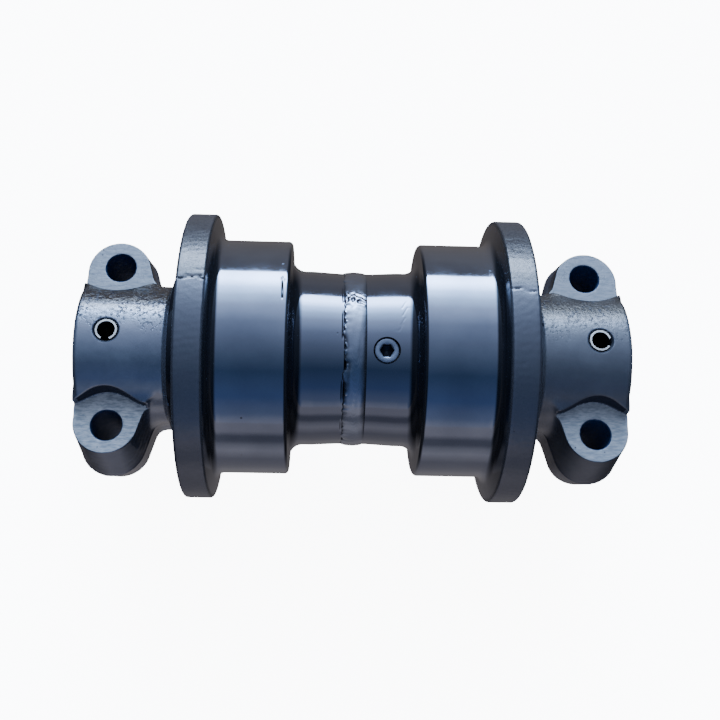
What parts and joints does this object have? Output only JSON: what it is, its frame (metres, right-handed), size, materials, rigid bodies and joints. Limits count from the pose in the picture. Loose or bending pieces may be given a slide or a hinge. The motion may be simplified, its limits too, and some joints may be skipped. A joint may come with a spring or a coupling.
{
  "type": "track roller",
  "caption": "Crawler undercarriage roller: a welded hollow shell with stepped treads and outer flanges turns on a fixed shaft held by pinned, bolt-down end collars.",
  "frame": {"origin": "centre of the shaft, halfway between the two flanges, which is also the centre of the part's box", "axes": "+X along the shaft, +Z towards the bolt heads, -Z towards the mounting faces, +Y completes the frame"},
  "size_m": [0.3594, 0.19, 0.19],
  "materials": {
    "shell_paint": "gloss",
    "weld_paint": "gloss",
    "collar_paint": "semi-gloss",
    "shaft_steel": "ground",
    "pin_steel": "painted over",
    "plug_steel": "painted over",
    "bush_bronze": "machined",
    "seal_iron": "lapped",
    "seal_rubber": "matte"
  },
  "bodies": {
    "axle": {"shaft": "shaft_steel", "collar_right": "collar_paint", "collar_left": "collar_paint", "spring_pin_right": "pin_steel", "spring_pin_left": "pin_steel", "shaft_o_ring_right": "seal_rubber", "shaft_o_ring_left": "seal_rubber", "collar_seal_ring_right": "seal_iron", "collar_seal_ring_left": "seal_iron", "collar_toric_ring_right": "seal_rubber", "collar_toric_ring_left": "seal_rubber"},
    "roller": {"shell_half_right": "shell_paint", "shell_half_left": "shell_paint", "weld_bead": "weld_paint", "oil_plug": "plug_steel", "bush_right": "bush_bronze", "bush_left": "bush_bronze", "roller_seal_ring_right": "seal_iron", "roller_seal_ring_left": "seal_iron", "roller_toric_ring_right": "seal_rubber", "roller_toric_ring_left": "seal_rubber"}
  },
  "joints": [
    {"name": "roller_spin", "type": "hinge", "parent": "axle", "child": "roller", "pos_m": [0, 0, 0], "axis": [1, 0, 0], "continuous": true}
  ]
}
